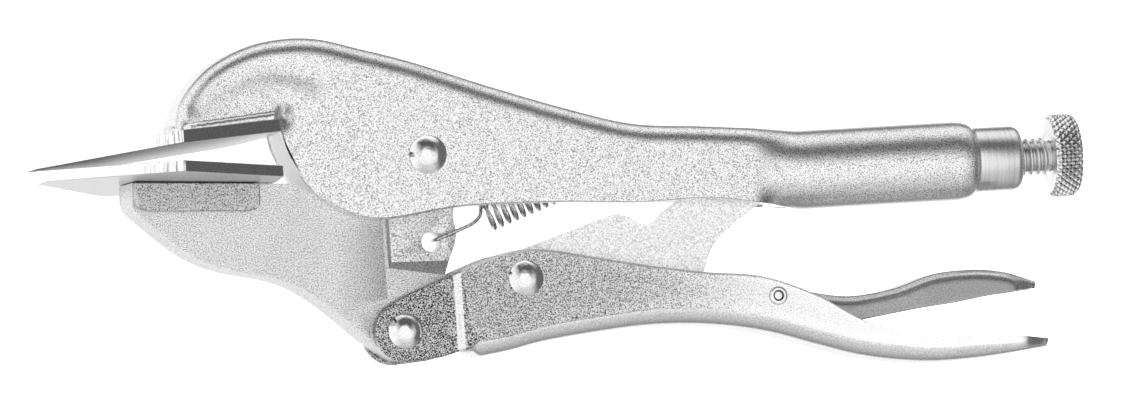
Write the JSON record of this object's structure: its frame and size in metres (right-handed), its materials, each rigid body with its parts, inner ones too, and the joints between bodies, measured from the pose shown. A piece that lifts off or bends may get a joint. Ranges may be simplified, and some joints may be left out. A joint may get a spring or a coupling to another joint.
{
  "type": "locking pliers",
  "caption": "Locking sheet-metal pliers with wide plate jaws, toggle-locking handles, release lever and adjusting screw.",
  "frame": {"origin": "centre of the fixed jaw's nose face", "axes": "+X from the jaws' nose to the adjusting knob, parallel to the screw; +Y towards the fixed handle; +Z across the jaws, square to both handles"},
  "size_m": [0.2042, 0.0687, 0.08],
  "materials": {
    "nickel_sheet": "satin nickel plate on pressed steel, fine grain",
    "nickel_plate": "satin nickel plate with sheared edges",
    "nickel_forging": "satin nickel plate on a forging",
    "nickel_turned": "plated turned steel",
    "polished_rivet": "polished",
    "spring_wire": "drawn wire"
  },
  "bodies": {
    "fixed_handle": {"upper_body": "nickel_sheet", "upper_jaw_plate": "nickel_plate", "end_nut": "nickel_turned", "jaw_pivot_rivet": "polished_rivet", "return_spring": "spring_wire"},
    "screw_carriage": {"screw_tip": "nickel_turned"},
    "screw": {"adjusting_screw": "nickel_turned", "adjusting_knob": "nickel_turned"},
    "moving_jaw": {"lower_jaw": "nickel_forging", "lower_jaw_plate": "nickel_plate"},
    "moving_handle": {"lever": "nickel_sheet", "lever_rivet": "polished_rivet", "toggle_rivet": "polished_rivet", "release_pin": "polished_rivet"},
    "link": {"toggle_link": "nickel_forging"},
    "release": {"release_lever": "nickel_sheet"}
  },
  "joints": [
    {"name": "jaw_open", "type": "hinge", "parent": "fixed_handle", "child": "moving_jaw", "pos_m": [0.0754, -0.00265, 0], "axis": [0, 0, 1], "range_deg": [0, 18], "deforming": ["return_spring"]},
    {"name": "handle_swing", "type": "hinge", "parent": "moving_jaw", "child": "moving_handle", "pos_m": [0.06905, -0.03595, 0], "axis": [0, 0, 1], "range_deg": [-59.4, 0]},
    {"name": "link_swing", "type": "hinge", "parent": "moving_handle", "child": "link", "pos_m": [0.0929, -0.02725, 0], "axis": [0, 0, 1], "range_deg": [0, 63]},
    {"name": "release_press", "type": "hinge", "parent": "moving_handle", "child": "release", "pos_m": [0.142, -0.0334, 0], "axis": [0, 0, 1], "range_deg": [-6, 0]},
    {"name": "screw_advance", "type": "slide", "parent": "fixed_handle", "child": "screw_carriage", "axis": [1, 0, 0], "range_m": [-0.00212, 0.00846]},
    {"name": "screw_turn", "type": "hinge", "parent": "screw_carriage", "child": "screw", "pos_m": [0.2042, -0.00935, 0], "axis": [1, 0, 0], "range_deg": [-540, 2160]}
  ],
  "couplings": [
    {"joint": "handle_swing", "follows": "jaw_open", "ratio": -3.3},
    {"joint": "link_swing", "follows": "jaw_open", "ratio": 3.5},
    {"joint": "screw_turn", "follows": "screw_advance", "rad_per_m": 4456.2}
  ]
}
